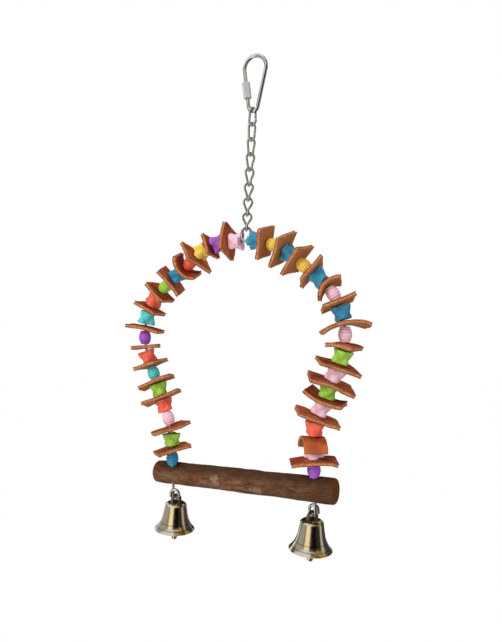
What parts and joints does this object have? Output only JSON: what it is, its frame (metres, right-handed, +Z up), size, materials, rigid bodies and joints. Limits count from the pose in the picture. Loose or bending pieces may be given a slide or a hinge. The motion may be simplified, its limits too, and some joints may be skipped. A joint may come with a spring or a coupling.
{
  "type": "bird swing",
  "caption": "Hanging bird swing: bark perch under a wire arch strung with plastic beads and leather chips, hung by a chain and quick link, with bells.",
  "frame": {"origin": "hang point, at the top of the quick link's inner bend", "axes": "+Z up, +X along the perch to the picture's right, -Y towards the viewer"},
  "size_m": [0.2338, 0.0448, 0.4311],
  "materials": {
    "zinc_steel": "zinc plated",
    "nickel": "nickel plated",
    "leather": "undyed flesh side, cut edges",
    "bark": "natural bark, sawn ends",
    "pink_bead": "moulded gloss",
    "coral_bead": "moulded gloss",
    "yellow_bead": "moulded gloss",
    "blue_bead": "moulded gloss",
    "teal_bead": "moulded gloss",
    "green_bead": "moulded gloss",
    "purple_bead": "moulded gloss"
  },
  "bodies": {
    "quick_link": {"quick_link": "zinc_steel"},
    "nut": {"quick_link_nut": "zinc_steel"},
    "link_1": {"chain_link_1": "zinc_steel"},
    "link_2": {"chain_link_2": "zinc_steel"},
    "link_3": {"chain_link_3": "zinc_steel"},
    "link_4": {"chain_link_4": "zinc_steel"},
    "link_5": {"chain_link_5": "zinc_steel"},
    "link_6": {"chain_link_6": "zinc_steel"},
    "link_7": {"chain_link_7": "zinc_steel"},
    "link_8": {"chain_link_8": "zinc_steel"},
    "swing": {"arch_wire": "zinc_steel", "perch": "bark", "leather_left_1": "leather", "leather_left_2": "leather", "leather_left_3": "leather", "leather_left_4": "leather", "leather_left_5": "leather", "leather_right_1": "leather", "leather_right_2": "leather", "leather_right_3": "leather", "leather_right_4": "leather", "leather_right_5": "leather"},
    "bell_left": {"bell_shell_left": "nickel", "bell_ear_left": "nickel"},
    "clapper_left": {"clapper_left": "nickel"},
    "bell_right": {"bell_shell_right": "nickel", "bell_ear_right": "nickel"},
    "clapper_right": {"clapper_right": "nickel"},
    "bead_left_01_pink": {"bead_left_01_pink": "pink_bead"},
    "bead_left_02_purple": {"bead_left_02_purple": "purple_bead"},
    "bead_left_03_yellow": {"bead_left_03_yellow": "yellow_bead"},
    "bead_left_04_coral": {"bead_left_04_coral": "coral_bead"},
    "bead_left_05_blue": {"bead_left_05_blue": "blue_bead"},
    "bead_left_06_green": {"bead_left_06_green": "green_bead"},
    "bead_left_07_coral": {"bead_left_07_coral": "coral_bead"},
    "bead_left_08_teal": {"bead_left_08_teal": "teal_bead"},
    "bead_left_09_purple": {"bead_left_09_purple": "purple_bead"},
    "bead_left_10_coral": {"bead_left_10_coral": "coral_bead"},
    "bead_left_11_teal": {"bead_left_11_teal": "teal_bead"},
    "bead_left_12_green": {"bead_left_12_green": "green_bead"},
    "bead_left_13_coral": {"bead_left_13_coral": "coral_bead"},
    "bead_left_14_pink": {"bead_left_14_pink": "pink_bead"},
    "bead_left_15_green": {"bead_left_15_green": "green_bead"},
    "bead_left_16_blue": {"bead_left_16_blue": "blue_bead"},
    "bead_right_01_blue": {"bead_right_01_blue": "blue_bead"},
    "bead_right_02_yellow": {"bead_right_02_yellow": "yellow_bead"},
    "bead_right_03_blue": {"bead_right_03_blue": "blue_bead"},
    "bead_right_04_yellow": {"bead_right_04_yellow": "yellow_bead"},
    "bead_right_05_blue": {"bead_right_05_blue": "blue_bead"},
    "bead_right_06_pink": {"bead_right_06_pink": "pink_bead"},
    "bead_right_07_blue": {"bead_right_07_blue": "blue_bead"},
    "bead_right_08_pink": {"bead_right_08_pink": "pink_bead"},
    "bead_right_09_green": {"bead_right_09_green": "green_bead"},
    "bead_right_10_pink": {"bead_right_10_pink": "pink_bead"},
    "bead_right_11_green": {"bead_right_11_green": "green_bead"},
    "bead_right_12_pink": {"bead_right_12_pink": "pink_bead"},
    "bead_right_13_coral": {"bead_right_13_coral": "coral_bead"},
    "bead_right_14_pink": {"bead_right_14_pink": "pink_bead"},
    "bead_right_15_purple": {"bead_right_15_purple": "purple_bead"}
  },
  "joints": [
    {"name": "swing_on_chain", "type": "hinge", "parent": "link_8", "child": "swing", "pos_m": [0, 0, -0.1442], "axis": [-0.908, -0.4191, 0], "range_deg": [-45, 45]},
    {"name": "bell_left_swing", "type": "hinge", "parent": "swing", "child": "bell_left", "pos_m": [-0.05684, 0.0008, -0.38927], "axis": [0.9736, -0.2088, 0.092], "range_deg": [-40, 40]},
    {"name": "clapper_left_swing", "type": "hinge", "parent": "bell_left", "child": "clapper_left", "pos_m": [-0.05684, 0.0008, -0.39982], "axis": [0.2079, 0.9781, 0], "range_deg": [-36, 36]},
    {"name": "bell_right_swing", "type": "hinge", "parent": "swing", "child": "bell_right", "pos_m": [0.07324, 0.00003, -0.378], "axis": [-0.8862, 0.4556, -0.0838], "range_deg": [-40, 40]},
    {"name": "clapper_right_swing", "type": "hinge", "parent": "bell_right", "child": "clapper_right", "pos_m": [0.07324, 0.00003, -0.38855], "axis": [-0.454, -0.891, 0], "range_deg": [-36, 36]},
    {"name": "nut_travel", "type": "slide", "parent": "quick_link", "child": "nut", "axis": [-0.1779, 0, 0.984], "range_m": [0, 0.00975]},
    {"name": "link_1_swing", "type": "hinge", "parent": "quick_link", "child": "link_1", "pos_m": [0, 0, -0.0452], "axis": [1, 0, 0], "range_deg": [-20, 20]},
    {"name": "link_2_swing", "type": "hinge", "parent": "link_1", "child": "link_2", "pos_m": [0, 0, -0.0552], "axis": [0.3827, 0.9239, 0], "range_deg": [-20, 20]},
    {"name": "link_3_swing", "type": "hinge", "parent": "link_2", "child": "link_3", "pos_m": [0, 0, -0.0701], "axis": [-0.9239, 0.3827, 0], "range_deg": [-20, 20]},
    {"name": "link_4_swing", "type": "hinge", "parent": "link_3", "child": "link_4", "pos_m": [0, 0, -0.0807], "axis": [0.5807, 0.8141, 0], "range_deg": [-20, 20]},
    {"name": "link_5_swing", "type": "hinge", "parent": "link_4", "child": "link_5", "pos_m": [0, 0, -0.0956], "axis": [-0.8141, 0.5807, 0], "range_deg": [-20, 20]},
    {"name": "link_6_swing", "type": "hinge", "parent": "link_5", "child": "link_6", "pos_m": [0, 0, -0.1062], "axis": [0.749, 0.6626, 0], "range_deg": [-20, 20]},
    {"name": "link_7_swing", "type": "hinge", "parent": "link_6", "child": "link_7", "pos_m": [0, 0, -0.1211], "axis": [-0.6626, 0.749, 0], "range_deg": [-20, 20]},
    {"name": "link_8_swing", "type": "hinge", "parent": "link_7", "child": "link_8", "pos_m": [0, 0, -0.1317], "axis": [0.8788, 0.4772, 0], "range_deg": [-20, 20]},
    {"name": "bead_left_01_pink_spin", "type": "hinge", "parent": "swing", "child": "bead_left_01_pink", "pos_m": [-0.01025, 0.0015, -0.15553], "axis": [-1, 0, 0], "continuous": true},
    {"name": "bead_left_02_purple_spin", "type": "hinge", "parent": "swing", "child": "bead_left_02_purple", "pos_m": [-0.0265, 0.0015, -0.15696], "axis": [-0.9696, 0, -0.2447], "continuous": true},
    {"name": "bead_left_03_yellow_spin", "type": "hinge", "parent": "swing", "child": "bead_left_03_yellow", "pos_m": [-0.04273, 0.0015, -0.16458], "axis": [-0.8074, 0, -0.5901], "continuous": true},
    {"name": "bead_left_04_coral_spin", "type": "hinge", "parent": "swing", "child": "bead_left_04_coral", "pos_m": [-0.05578, 0.0015, -0.17586], "axis": [-0.749, 0, -0.6626], "continuous": true},
    {"name": "bead_left_05_blue_spin", "type": "hinge", "parent": "swing", "child": "bead_left_05_blue", "pos_m": [-0.06757, 0.0015, -0.18629], "axis": [-0.749, 0, -0.6626], "continuous": true},
    {"name": "bead_left_06_green_spin", "type": "hinge", "parent": "swing", "child": "bead_left_06_green", "pos_m": [-0.08, 0.0015, -0.19728], "axis": [-0.749, 0, -0.6626], "continuous": true},
    {"name": "bead_left_07_coral_spin", "type": "hinge", "parent": "swing", "child": "bead_left_07_coral", "pos_m": [-0.09119, 0.0015, -0.20989], "axis": [-0.5451, 0, -0.8384], "continuous": true},
    {"name": "bead_left_08_teal_spin", "type": "hinge", "parent": "swing", "child": "bead_left_08_teal", "pos_m": [-0.09862, 0.0015, -0.22704], "axis": [-0.2387, 0, -0.9711], "continuous": true},
    {"name": "bead_left_09_purple_spin", "type": "hinge", "parent": "swing", "child": "bead_left_09_purple", "pos_m": [-0.09998, 0.0015, -0.24574], "axis": [0.0951, 0, -0.9955], "continuous": true},
    {"name": "bead_left_10_coral_spin", "type": "hinge", "parent": "swing", "child": "bead_left_10_coral", "pos_m": [-0.09521, 0.0015, -0.2636], "axis": [0.4141, 0, -0.9102], "continuous": true},
    {"name": "bead_left_11_teal_spin", "type": "hinge", "parent": "swing", "child": "bead_left_11_teal", "pos_m": [-0.0884, 0.0015, -0.27821], "axis": [0.4226, 0, -0.9063], "continuous": true},
    {"name": "bead_left_12_green_spin", "type": "hinge", "parent": "swing", "child": "bead_left_12_green", "pos_m": [-0.08147, 0.0015, -0.29307], "axis": [0.4226, 0, -0.9063], "continuous": true},
    {"name": "bead_left_13_coral_spin", "type": "hinge", "parent": "swing", "child": "bead_left_13_coral", "pos_m": [-0.07498, 0.0015, -0.307], "axis": [0.4226, 0, -0.9063], "continuous": true},
    {"name": "bead_left_14_pink_spin", "type": "hinge", "parent": "swing", "child": "bead_left_14_pink", "pos_m": [-0.06987, 0.0015, -0.31805], "axis": [0.3904, 0, -0.9206], "continuous": true},
    {"name": "bead_left_15_green_spin", "type": "hinge", "parent": "swing", "child": "bead_left_15_green", "pos_m": [-0.06509, 0.0015, -0.3368], "axis": [0.0974, 0, -0.9952], "continuous": true},
    {"name": "bead_left_16_blue_spin", "type": "hinge", "parent": "swing", "child": "bead_left_16_blue", "pos_m": [-0.06344, 0.0015, -0.35434], "axis": [0.0941, 0, -0.9956], "continuous": true},
    {"name": "bead_right_01_blue_spin", "type": "hinge", "parent": "swing", "child": "bead_right_01_blue", "pos_m": [0.01025, -0.0015, -0.15567], "axis": [0.9977, 0, -0.0674], "continuous": true},
    {"name": "bead_right_02_yellow_spin", "type": "hinge", "parent": "swing", "child": "bead_right_02_yellow", "pos_m": [0.02664, -0.0015, -0.15901], "axis": [0.9448, 0, -0.3276], "continuous": true},
    {"name": "bead_right_03_blue_spin", "type": "hinge", "parent": "swing", "child": "bead_right_03_blue", "pos_m": [0.04175, -0.0015, -0.16665], "axis": [0.8234, 0, -0.5675], "continuous": true},
    {"name": "bead_right_04_yellow_spin", "type": "hinge", "parent": "swing", "child": "bead_right_04_yellow", "pos_m": [0.05432, -0.0015, -0.17577], "axis": [0.809, 0, -0.5878], "continuous": true},
    {"name": "bead_right_05_blue_spin", "type": "hinge", "parent": "swing", "child": "bead_right_05_blue", "pos_m": [0.06778, -0.0015, -0.18554], "axis": [0.809, 0, -0.5878], "continuous": true},
    {"name": "bead_right_06_pink_spin", "type": "hinge", "parent": "swing", "child": "bead_right_06_pink", "pos_m": [0.08017, -0.0015, -0.19757], "axis": [0.6058, 0, -0.7956], "continuous": true},
    {"name": "bead_right_07_blue_spin", "type": "hinge", "parent": "swing", "child": "bead_right_07_blue", "pos_m": [0.08841, -0.0015, -0.21257], "axis": [0.3471, 0, -0.9378], "continuous": true},
    {"name": "bead_right_08_pink_spin", "type": "hinge", "parent": "swing", "child": "bead_right_08_pink", "pos_m": [0.09192, -0.0015, -0.22925], "axis": [0.0596, 0, -0.9982], "continuous": true},
    {"name": "bead_right_09_green_spin", "type": "hinge", "parent": "swing", "child": "bead_right_09_green", "pos_m": [0.0902, -0.0015, -0.24712], "axis": [-0.2484, 0, -0.9686], "continuous": true},
    {"name": "bead_right_10_pink_spin", "type": "hinge", "parent": "swing", "child": "bead_right_10_pink", "pos_m": [0.08538, -0.0015, -0.26169], "axis": [-0.3256, 0, -0.9455], "continuous": true},
    {"name": "bead_right_11_green_spin", "type": "hinge", "parent": "swing", "child": "bead_right_11_green", "pos_m": [0.08058, -0.0015, -0.27564], "axis": [-0.3256, 0, -0.9455], "continuous": true},
    {"name": "bead_right_12_pink_spin", "type": "hinge", "parent": "swing", "child": "bead_right_12_pink", "pos_m": [0.07565, -0.0015, -0.28996], "axis": [-0.3256, 0, -0.9455], "continuous": true},
    {"name": "bead_right_13_coral_spin", "type": "hinge", "parent": "swing", "child": "bead_right_13_coral", "pos_m": [0.07116, -0.0015, -0.30704], "axis": [-0.1294, 0, -0.9916], "continuous": true},
    {"name": "bead_right_14_pink_spin", "type": "hinge", "parent": "swing", "child": "bead_right_14_pink", "pos_m": [0.07128, -0.0015, -0.32556], "axis": [0.0941, 0, -0.9956], "continuous": true},
    {"name": "bead_right_15_purple_spin", "type": "hinge", "parent": "swing", "child": "bead_right_15_purple", "pos_m": [0.07273, -0.0015, -0.34088], "axis": [0.0941, 0, -0.9956], "continuous": true}
  ]
}
